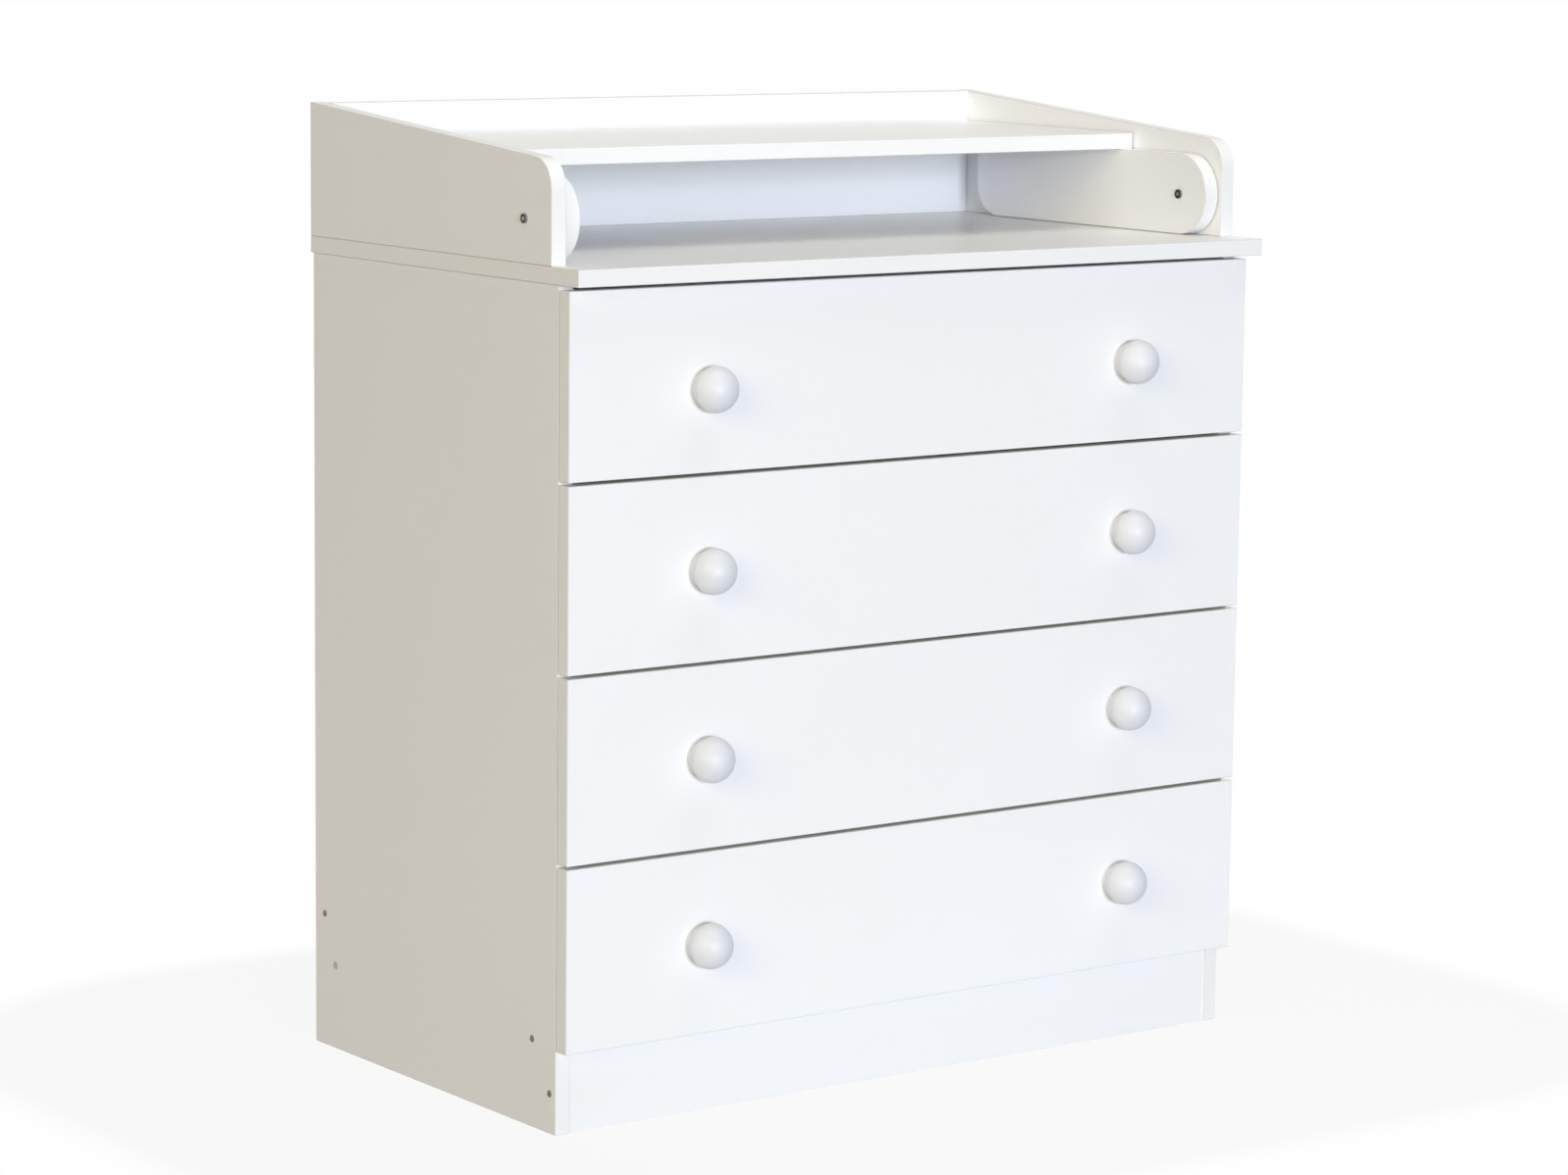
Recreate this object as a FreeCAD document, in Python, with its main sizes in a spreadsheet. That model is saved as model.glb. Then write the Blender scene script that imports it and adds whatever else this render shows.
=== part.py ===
"""Changing dresser: four drawers on roller runners under a fold-over changing board.

Millimetres, Z up, the drawers face -Y and the origin is the middle of the floor under it.
"""
import FreeCAD, Part
import math
import os
from types import SimpleNamespace

import Sketcher
from FreeCAD import Placement, Rotation, Vector

DRAWERS = (1, 2, 3, 4)  # counted from the top
SIDES = {"left": -1, "right": 1}

DIMENSIONS = (
    # carcass
    ("carcass_width", 800, "over both side panels"),
    ("carcass_depth", 426, "of a side panel"),
    ("carcass_height", 776, "floor to the underside of the top panel"),
    ("panel_thickness", 16, "of the sides, bottom, plinth and rear rail"),
    ("plinth_height", 75, "floor to the underside of the bottom panel"),
    ("plinth_setback", 1.5, "plinth behind the front edges of the sides"),
    ("rail_height", 80, "of the rear rail on the bottom panel"),
    ("back_thickness", 3, "of the hardboard back"),
    ("back_inset", 7, "hardboard back ahead of the rear edges"),
    ("groove_depth", 6, "of the grooves that hold thin boards"),
    ("groove_clearance", 0.2, "round a thin board in its groove"),
    ("edge_break", 0.6, "on the banded edges of the visible boards"),
    # top panel and the boards that stand on it
    ("top_thickness", 16, "of the top panel"),
    ("top_side_overhang", 3, "top panel past each side panel"),
    ("top_front_overhang", 36.5, "top panel past the front edges of the sides"),
    ("guard_thickness", 16, "of the three guard boards"),
    ("guard_setback", 8, "side guards behind the front edges of the sides"),
    ("guard_front_height", 94, "of a side guard at its front, before rounding"),
    ("guard_back_height", 127.5, "of a side guard at its rear"),
    ("guard_rounding", 28, "upper front corner of a side guard"),
    ("back_guard_height", 127, "of the board between the side guards"),
    # fold-over changing board
    ("shelf_thickness", 16, "of the changing shelf"),
    ("arm_thickness", 16, "of the two arms under the shelf"),
    ("arm_height", 79.2, "of an arm, and the diameter of its round front end"),
    ("arm_rounding", 35, "lower rear corner of an arm"),
    ("arm_end_inset", 34, "arms end ahead of the shelf's rear edge"),
    ("arm_floor_gap", 0.4, "arms above the top panel"),
    ("arm_side_gap", 1.5, "between an arm and its side guard"),
    ("shelf_back_gap", 5, "between the shelf and the back guard"),
    ("unfolded_gap", 3.5, "between the unfolded shelf and the top panel"),
    ("pivot_setback", 51, "pivot behind the front edges of the sides"),
    ("pivot_radius", 4, "of the pivot bolts"),
    ("pivot_head_radius", 4.8, "of the flat metal heads"),
    ("pivot_head_length", 1.8, "of the flat metal heads"),
    ("pivot_screw_radius", 2.5, "of the cap screw inside a pivot bolt"),
    ("pivot_screw_length", 14, "of the cap screw inside a pivot bolt"),
    ("pivot_end_gap", 1, "between the cap screw's end and the bottom of its hole"),
    ("washer_radius", 10, "of the nylon spacer between guard and arm"),
    ("bearing_clearance", 0.1, "radial, of every pin in its bore"),
    # drawers
    ("front_thickness", 16, "of a drawer front"),
    ("front_gap", 1, "between drawer fronts and side panels"),
    ("front_base_gap", 3.5, "lowest front above the bottom panel's underside"),
    ("front_spacing", 3, "between one drawer front and the next"),
    ("front_top_gap", 4.5, "upper front below the top panel"),
    ("drawer_lift", 22, "drawer box above the lower edge of its front"),
    ("drawer_height", 120, "of the drawer box"),
    ("drawer_board", 12, "thickness of drawer sides and back"),
    ("drawer_bottom_thickness", 3, "of the hardboard bottom"),
    ("drawer_bottom_lift", 10, "hardboard bottom above the box's lower edge"),
    # knobs
    ("knob_spread", 250, "from the middle to each knob"),
    ("top_knob_drop", 8, "upper knobs below the middle of their front"),
    ("knob_length", 35, "from the drawer front to the top of the dome"),
    ("knob_radius", 21.5, "at the widest place"),
    ("knob_rim_height", 13.5, "from the drawer front to the widest place"),
    ("knob_waist_radius", 17.5, "above the foot"),
    ("knob_foot_radius", 18.5, "of the thin foot on the drawer front"),
    ("knob_foot_height", 1.5, "of the thin foot on the drawer front"),
    ("knob_hollow", 30, "radius of the hollow between waist and widest place"),
    # roller runners
    ("runner_gap", 12.5, "between a drawer side and a side panel"),
    ("runner_steel", 1.2, "sheet thickness of the runners"),
    ("runner_length", 350, "of both runner members and of the drawer box"),
    ("runner_front_inset", 2, "runners behind the front edges of the sides"),
    ("roller_radius", 10, "of the nylon rollers"),
    ("roller_width", 4.6, "of the nylon rollers"),
    ("roller_clearance", 0.3, "between a roller and what it runs on or beside"),
    ("roller_pin_radius", 2.5, "of the roller pins"),
    ("roller_pin_end", 0.8, "of a pin past its roller and its play"),
    ("roller_inset", 12, "roller centre from the end of its member"),
    ("floor_drop", 1.8, "track for the rear rollers below the foot of the box"),
    ("lip_height", 3, "of the folded lips beside the rollers"),
    ("ledge_width", 10, "runner flange under a drawer side"),
    ("hood_width", 6, "runner flange that keeps the drawer from tipping"),
    ("hood_play", 0.8, "under that flange"),
    ("hood_entry", 45, "length cut from that flange where the rear rollers enter"),
    # dowels, each glued into the edge of one board and pushed into the flat of the next
    ("dowel_radius", 4, "of the dowels"),
    ("dowel_bite", 10, "of a dowel into the flat of a board"),
    ("dowel_clearance", 0.1, "radial, of a dowel in its hole"),
    ("dowel_end_gap", 1, "between a dowel's end and the bottom of its hole"),
    ("dowel_inset", 60, "dowels from the ends of their joint"),
)

doc = FreeCAD.newDocument("changing_dresser")
sheet = doc.addObject("Spreadsheet::Sheet", "Sizes")
subparts = []


class Size:
    """A length with its number and the sheet formula that it comes from."""

    def __init__(self, number, formula):
        self.number = number
        self.formula = formula

    def __add__(self, other):
        return Size(self.number + number(other), f"({self.formula} + {formula(other)})")

    def __sub__(self, other):
        return Size(self.number - number(other), f"({self.formula} - {formula(other)})")

    def __rsub__(self, other):
        return Size(other - self.number, f"({other} - {self.formula})")

    def __mul__(self, other):
        return Size(self.number * number(other), f"({self.formula} * {formula(other)})")

    def __truediv__(self, other):
        return Size(self.number / number(other), f"({self.formula} / {formula(other)})")

    def __neg__(self):
        return Size(-self.number, f"(0 - {self.formula})")

    __radd__ = __add__
    __rmul__ = __mul__


def number(length):
    return length.number if isinstance(length, Size) else length


def formula(length):
    return length.formula if isinstance(length, Size) else str(length)


def fill_sheet():
    """Write every driving dimension into the sheet and return them by name."""
    found = SimpleNamespace()
    for row, (name, value, meaning) in enumerate(DIMENSIONS, 1):
        sheet.set(f"A{row}", meaning)
        sheet.set(f"B{row}", str(value))
        sheet.setAlias(f"B{row}", name)
        setattr(found, name, Size(float(sheet.getContents(f"B{row}")), f"Sizes.{name}"))
    doc.recompute()
    return found


d = fill_sheet()


# ---- places that several pieces share

overall_depth = d.carcass_depth + d.front_gap + d.front_thickness + d.knob_length
rear_y = overall_depth / 2
front_y = rear_y - d.carcass_depth
half_width = d.carcass_width / 2
inner_width = d.carcass_width - 2 * d.panel_thickness
bottom_top = d.plinth_height + d.panel_thickness
back_y = d.carcass_depth - d.back_inset - d.back_thickness  # from the front edges

top_z = d.carcass_height + d.top_thickness
top_half = half_width + d.top_side_overhang
guard_inner = top_half - d.guard_thickness
back_guard_y = rear_y - d.guard_thickness

arm_radius = d.arm_height / 2
pivot_y = front_y + d.pivot_setback
pivot_z = top_z + d.arm_floor_gap + arm_radius
arm_outer = guard_inner - d.arm_side_gap
arm_inner = arm_outer - d.arm_thickness
shelf_front_y = pivot_y + d.pivot_setback + d.top_front_overhang + d.unfolded_gap
shelf_rear_y = back_guard_y - d.shelf_back_gap
shelf_z = top_z + d.arm_floor_gap + d.arm_height

front_inner_y = front_y - d.front_gap
front_height = (d.carcass_height - d.front_top_gap - d.plinth_height - d.front_base_gap
                - (len(DRAWERS) - 1) * d.front_spacing) / len(DRAWERS)
box_half = inner_width / 2 - d.runner_gap
box_inner_half = box_half - d.drawer_board
tray_play = d.groove_clearance


def front_z(drawer):
    """Height of the lower edge of a drawer's front."""
    below = DRAWERS[-1] - drawer
    return d.plinth_height + d.front_base_gap + below * (front_height + d.front_spacing)


# ---- document helpers

def bind(item, path, length):
    item.setExpression(path, formula(length))


def place(item, x, y, z):
    for axis, length in zip("xyz", (x, y, z)):
        bind(item, f"Placement.Base.{axis}", length)


def publish(item, name):
    """Mark an object as a sub-part that is written out under this name."""
    item.Label = name
    subparts.append(item)
    return item


def new_body(name):
    return doc.addObject("PartDesign::Body", f"{name}_body")


def new_sketch(body, plane, offset=0):
    """A sketch on a body's own XY, XZ or YZ plane, moved along that plane's normal."""
    sketch = body.newObject("Sketcher::SketchObject", f"{body.Name}_sketch")
    origin_plane = next(p for p in body.Origin.OriginFeatures if p.Role == f"{plane}_Plane")
    sketch.AttachmentSupport = (origin_plane, [""])
    sketch.MapMode = "FlatFace"
    bind(sketch, "AttachmentOffset.Base.z", offset)
    return sketch


def hold(sketch, kind, geometry, length, vertex=None):
    """Add a distance from the sketch's origin, or a radius, and bind it to its formula."""
    if vertex is None:
        constraint = Sketcher.Constraint(kind, geometry, number(length))
    else:
        constraint = Sketcher.Constraint(kind, -1, 1, geometry, vertex, number(length))
    index = sketch.addConstraint(constraint)
    bind(sketch, f"Constraints[{index}]", length)


def arc_between(start, end, radius):
    """An arc of under a half circle that bulges left, or right with a negative radius.

    It comes with the numbers of the vertices at which it starts and ends.
    """
    chord = end - start
    reach = math.sqrt(max(radius ** 2 - (chord.Length / 2) ** 2, 0))
    across = Vector(-chord.y, chord.x, 0).normalize()
    centre = (start + end) / 2 - across * math.copysign(reach, radius)
    circle = Part.Circle(centre, Vector(0, 0, 1), abs(radius))
    first, last = [math.atan2(p.y - centre.y, p.x - centre.x) for p in (start, end)]
    if radius > 0:
        return Part.ArcOfCircle(circle, last, first), 2, 1
    return Part.ArcOfCircle(circle, first, last), 1, 2


def draw(sketch, corners):
    """Close a profile through corners (x, y), or (x, y, radius) where an arc follows."""
    points = [Vector(number(x), number(y), 0) for x, y, *_ in corners + corners[:1]]
    pieces = []
    for index, corner in enumerate(corners):
        shape, first, last = Part.LineSegment(points[index], points[index + 1]), 1, 2
        if len(corner) == 3:
            shape, first, last = arc_between(points[index], points[index + 1], number(corner[2]))
        pieces.append((sketch.addGeometry(shape), first, last))
    for index, corner in enumerate(corners):
        piece, first, last = pieces[index]
        before, _, end_before = pieces[index - 1]
        sketch.addConstraint(Sketcher.Constraint("Coincident", before, end_before, piece, first))
        hold(sketch, "DistanceX", piece, corner[0], first)
        hold(sketch, "DistanceY", piece, corner[1], first)
        if len(corner) == 3:
            radius = corner[2] if number(corner[2]) > 0 else -corner[2]
            hold(sketch, "Radius", piece, radius)


def draw_circle(sketch, x, y, radius):
    centre = Vector(number(x), number(y), 0)
    circle = sketch.addGeometry(Part.Circle(centre, Vector(0, 0, 1), number(radius)))
    hold(sketch, "DistanceX", circle, x, 3)
    hold(sketch, "DistanceY", circle, y, 3)
    hold(sketch, "Radius", circle, radius)


def rectangle(width, height, x=0, y=0):
    return [(x, y), (x + width, y), (x + width, y + height), (x, y + height)]


def pad(body, sketch, length, reverse=False):
    feature = body.newObject("PartDesign::Pad", f"{body.Name}_pad")
    feature.Profile = sketch
    feature.Reversed = reverse
    bind(feature, "Length", length)
    return feature


def pocket(body, sketch, length=None, reverse=False):
    """Cut a sketch into a body, against the plane's normal, or right through both ways."""
    feature = body.newObject("PartDesign::Pocket", f"{body.Name}_pocket")
    feature.Profile = sketch
    if length is None:
        feature.Type = "ThroughAll"
        feature.Midplane = True
    else:
        feature.Reversed = reverse
        bind(feature, "Length", length)
    return feature


def drill(body, plane, offset, radius, centres, depth=None, reverse=False):
    sketch = new_sketch(body, plane, offset)
    for x, y in centres:
        draw_circle(sketch, x, y, radius)
    return pocket(body, sketch, depth, reverse)


def dress_edges(body, kind, measure, amount, chosen=None):
    """Fillet or chamfer every edge of a body, or the ones that the given test chooses."""
    doc.recompute()
    base = body.Tip
    feature = body.newObject(f"PartDesign::{kind}", f"{body.Name}_{kind.lower()}")
    edges = base.Shape.Edges
    names = [f"Edge{i}" for i, edge in enumerate(edges, 1) if chosen is None or chosen(edge)]
    feature.Base = (base, names)
    bind(feature, measure, amount)
    return feature


def soften_edges(body):
    """Break the edges of a board that is banded all round."""
    return dress_edges(body, "Chamfer", "Size", d.edge_break)


def block(name, width, depth, height, banded=True):
    """A plain board as a body, its origin at its lower left front corner."""
    body = new_body(name)
    sketch = new_sketch(body, "XY")
    draw(sketch, rectangle(width, depth))
    pad(body, sketch, height)
    if banded:
        soften_edges(body)
    return body


def upright_board(name, corners, thickness):
    """A board cut to a side-on outline (y, z) and as thick along X as given."""
    body = new_body(name)
    sketch = new_sketch(body, "YZ")
    draw(sketch, corners)
    pad(body, sketch, thickness)
    return body


def cylinder(name, radius, length, turn=None):
    """A Part cylinder from the origin along +Z, or turned from there."""
    item = doc.addObject("Part::Cylinder", name)
    bind(item, "Radius", radius)
    bind(item, "Height", length)
    if turn:
        item.Placement = Placement(Vector(), turn)
    return item


def fuse(name, items):
    item = doc.addObject("Part::MultiFuse", name)
    item.Shapes = items
    return item


def cut(name, base, tool):
    item = doc.addObject("Part::Cut", name)
    item.Base = base
    item.Tool = tool
    return item


def group(name, items):
    """Separate solids that share one node."""
    item = doc.addObject("Part::Compound", name)
    item.Links = items
    return publish(item, name)


ALONG_X = Rotation(Vector(0, 1, 0), 90)
AGAINST_X = Rotation(Vector(0, 1, 0), -90)
INWARD = {"left": ALONG_X, "right": AGAINST_X}


# ---- places of the dowels, from the front edges of the sides or along the joint

TOP_DOWELS = (d.dowel_inset, d.carcass_depth - d.dowel_inset)
GUARD_DOWELS = (2 * d.dowel_inset, d.carcass_depth - 2 * d.dowel_inset)
BACK_GUARD_DOWELS = (d.dowel_inset, 2 * guard_inner - d.dowel_inset)
SHELF_DOWELS = (d.dowel_inset, shelf_rear_y - shelf_front_y - d.arm_end_inset - d.dowel_inset)


def dowels(body, edge, centres, downwards=False):
    """Dowels that stand out of an upper or lower edge, which is at this height."""
    sketch = new_sketch(body, "XY", edge)
    for x, y in centres:
        draw_circle(sketch, x, y, d.dowel_radius)
    return pad(body, sketch, d.dowel_bite, downwards)


def dowel_holes(body, face, centres, from_below=False):
    """Blind holes for dowels in the upper or lower face of a flat board."""
    return drill(body, "XY", face, d.dowel_radius + d.dowel_clearance, centres,
                 d.dowel_bite + d.dowel_end_gap, from_below)


# ---- carcass

def side_panel(side):
    """A side panel with its dowels and the groove for the back."""
    body = upright_board(f"{side}_side_panel", rectangle(d.carcass_depth, d.carcass_height),
                         d.panel_thickness)
    soften_edges(body)
    inner = d.panel_thickness - d.groove_depth if side == "left" else -d.groove_depth
    groove = new_sketch(body, "XY")
    draw(groove, rectangle(2 * d.groove_depth, d.back_thickness + 2 * d.groove_clearance,
                           inner, back_y - d.groove_clearance))
    pocket(body, groove)
    dowels(body, d.carcass_height, [(d.panel_thickness / 2, y) for y in TOP_DOWELS])
    left_face = -half_width if side == "left" else half_width - d.panel_thickness
    place(body, left_face, front_y, 0)
    return publish(body, f"{side}_side_panel")


def cross_board(name, depth, height, y, z):
    """A board between the side panels."""
    body = block(name, inner_width, depth, height, banded=False)
    place(body, -inner_width / 2, front_y + y, z)
    return publish(body, name)


def carcass():
    for side in SIDES:
        side_panel(side)
    cross_board("bottom_panel", back_y, d.panel_thickness, 0, d.plinth_height)
    cross_board("front_plinth", d.panel_thickness, d.plinth_height, d.plinth_setback, 0)
    cross_board("rear_rail", d.panel_thickness, d.rail_height, back_y - d.panel_thickness,
                bottom_top)

    back = doc.addObject("Part::Box", "back_board")
    back_width = inner_width + 2 * (d.groove_depth - d.groove_clearance)
    bind(back, "Length", back_width)
    bind(back, "Width", d.back_thickness)
    bind(back, "Height", d.carcass_height - d.plinth_height - d.groove_clearance)
    place(back, -back_width / 2, front_y + back_y, d.plinth_height)
    publish(back, "back_panel")


# ---- top panel and guard boards

def top_panel():
    depth = d.carcass_depth + d.top_front_overhang
    body = block("top_panel", 2 * top_half, depth, d.top_thickness)
    side_x = d.top_side_overhang + d.panel_thickness / 2
    guard_x = d.guard_thickness / 2
    under = [(x, d.top_front_overhang + y) for x in (side_x, 2 * top_half - side_x)
             for y in TOP_DOWELS]
    over = [(x, d.top_front_overhang + y) for x in (guard_x, 2 * top_half - guard_x)
            for y in GUARD_DOWELS]
    over += [(d.guard_thickness + x, depth - d.guard_thickness / 2) for x in BACK_GUARD_DOWELS]
    dowel_holes(body, 0, under, from_below=True)
    dowel_holes(body, d.top_thickness, over)
    place(body, -top_half, front_y - d.top_front_overhang, d.carcass_height)
    publish(body, "top_panel")


def side_guard(side):
    """A raised side board, sloping to the front, with the bore for the pivot bolt."""
    length = d.carcass_depth - d.guard_setback
    body = upright_board(f"{side}_guard", [(0, 0), (length, 0), (length, d.guard_back_height),
                                           (0, d.guard_front_height)], d.guard_thickness)

    def upper_front(edge):
        middle = edge.CenterOfMass
        return middle.y < 1 and abs(middle.x - d.guard_thickness.number / 2) < 1 and middle.z > 1

    dress_edges(body, "Fillet", "Radius", d.guard_rounding, upper_front)
    soften_edges(body)
    pivot = (d.pivot_setback - d.guard_setback, pivot_z - top_z)
    drill(body, "YZ", 0, d.pivot_radius + d.bearing_clearance, [pivot])
    centres = [(d.guard_thickness / 2, y - d.guard_setback) for y in GUARD_DOWELS]
    dowels(body, 0, centres, downwards=True)
    left_face = -top_half if side == "left" else guard_inner
    place(body, left_face, front_y + d.guard_setback, top_z)
    return publish(body, f"{side}_guard_board")


def back_guard():
    body = block("back_guard", 2 * guard_inner, d.guard_thickness, d.back_guard_height)
    centres = [(x, d.guard_thickness / 2) for x in BACK_GUARD_DOWELS]
    dowels(body, 0, centres, downwards=True)
    place(body, -guard_inner, back_guard_y, top_z)
    publish(body, "back_guard_board")


# ---- fold-over changing board

def arm_outline():
    """Side view from the pivot: round front end, straight top, rounded lower rear corner."""
    rear = shelf_rear_y - d.arm_end_inset - pivot_y
    bottom = -arm_radius
    return [(-arm_radius, 0, arm_radius), (0, arm_radius), (rear, arm_radius),
            (rear, bottom + d.arm_rounding, d.arm_rounding),
            (rear - d.arm_rounding, bottom), (0, bottom, arm_radius)]


def changing_board():
    shelf = block("changing_shelf", 2 * arm_outer, shelf_rear_y - shelf_front_y,
                  d.shelf_thickness)
    arm_middles = (d.arm_thickness / 2, 2 * arm_outer - d.arm_thickness / 2)
    dowel_holes(shelf, 0, [(x, y) for x in arm_middles for y in SHELF_DOWELS], from_below=True)
    place(shelf, -arm_outer, shelf_front_y, shelf_z)
    publish(shelf, "changing_shelf")

    for side in SIDES:
        arm = upright_board(f"{side}_arm", arm_outline(), d.arm_thickness)
        soften_edges(arm)
        drill(arm, "YZ", 0, d.pivot_radius + d.bearing_clearance, [(0, 0)])
        start = shelf_front_y - pivot_y
        dowels(arm, arm_radius, [(d.arm_thickness / 2, start + y) for y in SHELF_DOWELS])
        place(arm, -arm_outer if side == "left" else arm_inner, pivot_y, pivot_z)
        publish(arm, f"{side}_arm")


def pivot_bolt(side):
    """A flat-headed bolt through guard and arm, its cap screw and the nylon spacer."""
    towards = SIDES[side]
    turn = INWARD[side]
    shank_length = top_half - arm_inner + d.bearing_clearance
    thread_depth = d.pivot_screw_length + d.pivot_end_gap
    head = cylinder(f"{side}_pivot_head", d.pivot_head_radius, d.pivot_head_length, turn)
    shank = cylinder(f"{side}_pivot_shank", d.pivot_radius, shank_length, turn)
    thread = cylinder(f"{side}_pivot_thread", d.pivot_screw_radius + d.bearing_clearance,
                      thread_depth, turn)
    cap = cylinder(f"{side}_cap_head", d.pivot_head_radius, d.pivot_head_length, turn)
    screw = cylinder(f"{side}_cap_shank", d.pivot_screw_radius, d.pivot_screw_length, turn)
    ring = cylinder(f"{side}_spacer_ring", d.washer_radius, d.arm_side_gap - d.bearing_clearance,
                    turn)
    hole = cylinder(f"{side}_spacer_hole", d.pivot_radius + d.bearing_clearance,
                    d.arm_side_gap, turn)
    shank_end = top_half - shank_length
    starts = ((head, top_half + d.pivot_head_length), (shank, top_half),
              (thread, shank_end + thread_depth), (cap, shank_end),
              (screw, shank_end + d.pivot_screw_length), (ring, guard_inner),
              (hole, guard_inner))
    for item, x in starts:
        place(item, towards * x, pivot_y, pivot_z)
    bolt = cut(f"{side}_bolt", fuse(f"{side}_bolt_solid", [head, shank]), thread)
    group(f"{side}_pivot_bolt", [bolt, fuse(f"{side}_cap_screw", [cap, screw]),
                                 cut(f"{side}_spacer", ring, hole)])


# ---- drawers

def drawer_front(drawer):
    """A full-overlay front with the stopped groove for the drawer bottom."""
    name = f"drawer_{drawer}_front"
    body = block(name, d.carcass_width, d.front_thickness, front_height)
    groove_half = box_inner_half + d.groove_depth
    groove = new_sketch(body, "XZ", -d.front_thickness)
    draw(groove, rectangle(2 * groove_half, d.drawer_bottom_thickness + 2 * tray_play,
                           half_width - groove_half,
                           d.drawer_lift + d.drawer_bottom_lift - tray_play))
    pocket(body, groove, d.groove_depth, reverse=True)
    place(body, -half_width, front_inner_y - d.front_thickness, front_z(drawer))
    publish(body, name)


def drawer_box(drawer):
    """Sides, back and hardboard bottom behind a drawer front."""
    low = front_z(drawer) + d.drawer_lift
    slot = d.drawer_bottom_thickness + 2 * tray_play
    slot_z = d.drawer_bottom_lift - tray_play
    for side in SIDES:
        name = f"drawer_{drawer}_{side}_side"
        body = block(name, d.drawer_board, d.runner_length, d.drawer_height, banded=False)
        groove = new_sketch(body, "XZ")
        start = d.drawer_board - d.groove_depth if side == "left" else -d.groove_depth
        draw(groove, rectangle(2 * d.groove_depth, slot, start, slot_z))
        pocket(body, groove)
        place(body, -box_half if side == "left" else box_inner_half, front_inner_y, low)
        publish(body, name)

    name = f"drawer_{drawer}_back"
    body = block(name, 2 * box_inner_half, d.drawer_board, d.drawer_height, banded=False)
    groove = new_sketch(body, "YZ")
    draw(groove, rectangle(2 * d.groove_depth, slot, -d.groove_depth, slot_z))
    pocket(body, groove)
    place(body, -box_inner_half, front_inner_y + d.runner_length - d.drawer_board, low)
    publish(body, name)

    reach = d.groove_depth - tray_play
    bottom = doc.addObject("Part::Box", f"drawer_{drawer}_bottom_board")
    bind(bottom, "Length", 2 * (box_inner_half + reach))
    bind(bottom, "Width", d.runner_length - d.drawer_board + 2 * reach)
    bind(bottom, "Height", d.drawer_bottom_thickness)
    place(bottom, -box_inner_half - reach, front_inner_y - reach, low + d.drawer_bottom_lift)
    publish(bottom, f"drawer_{drawer}_bottom")


def knob_z(drawer):
    middle = front_z(drawer) + front_height / 2
    return middle - d.top_knob_drop if drawer == DRAWERS[0] else middle


def knob(drawer, side):
    """A turned ball-fronted knob on the face of a drawer front."""
    name = f"drawer_{drawer}_{side}_knob"
    body = new_body(name)
    sketch = new_sketch(body, "XY")
    rise = d.knob_length - d.knob_rim_height
    dome_radius = (d.knob_radius * d.knob_radius + rise * rise) / (2 * rise)
    draw(sketch, [(0, 0), (d.knob_foot_radius, 0), (d.knob_foot_radius, -d.knob_foot_height),
                  (d.knob_waist_radius, -d.knob_foot_height, -d.knob_hollow),
                  (d.knob_radius, -d.knob_rim_height, dome_radius), (0, -d.knob_length)])
    turned = body.newObject("PartDesign::Revolution", f"{name}_turning")
    turned.Profile = sketch
    turned.ReferenceAxis = (sketch, ["V_Axis"])
    turned.Angle = 360
    place(body, SIDES[side] * d.knob_spread, front_inner_y - d.front_thickness, knob_z(drawer))
    publish(body, name)


# ---- roller runners, by distance from the side panel and height over the foot of the box

web = d.runner_gap - d.runner_steel
front_roller_end = web - 2 * d.roller_clearance - d.roller_pin_end
front_roller_start = front_roller_end - d.roller_width
rear_roller_start = d.runner_steel + 2 * d.roller_clearance + d.roller_pin_end
rear_roller_end = rear_roller_start + d.roller_width
front_roller_y = front_y + d.runner_front_inset + d.roller_inset
rear_roller_y = front_inner_y + d.runner_length - d.roller_inset
rear_roller_height = d.roller_radius + d.roller_clearance - d.floor_drop
front_roller_height = rear_roller_height + d.lip_height
track_height = front_roller_height + d.roller_radius + d.roller_clearance
hood_height = track_height + d.runner_steel + d.hood_play


def box_foot(drawer):
    return front_z(drawer) + d.drawer_lift


def folded_steel(name, side, section):
    """A runner member: its folded section, from the side panel inwards, drawn out along Y."""
    inward = -SIDES[side]
    body = new_body(name)
    sketch = new_sketch(body, "XZ")
    draw(sketch, [(inward * x, z) for x, z in section])
    pad(body, sketch, d.runner_length, reverse=True)
    return body


def trim(body, side, start, end, low, high, at_rear, length):
    """Cut a length off one flange at the front or the rear end of a runner member."""
    inward = -SIDES[side]
    sketch = new_sketch(body, "XZ", -d.runner_length if at_rear else 0)
    draw(sketch, [(inward * x, z) for x, z in ((start, low), (end, low), (end, high), (start, high))])
    pocket(body, sketch, length, reverse=at_rear)


def roller_pin(name, side, start, end, y, z):
    """The pin that carries a roller, between two distances from the side panel."""
    pin = cylinder(f"{name}_pin", d.roller_pin_radius, end - start, INWARD[side])
    place(pin, SIDES[side] * (inner_width / 2 - start), y, z)
    return pin


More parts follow.
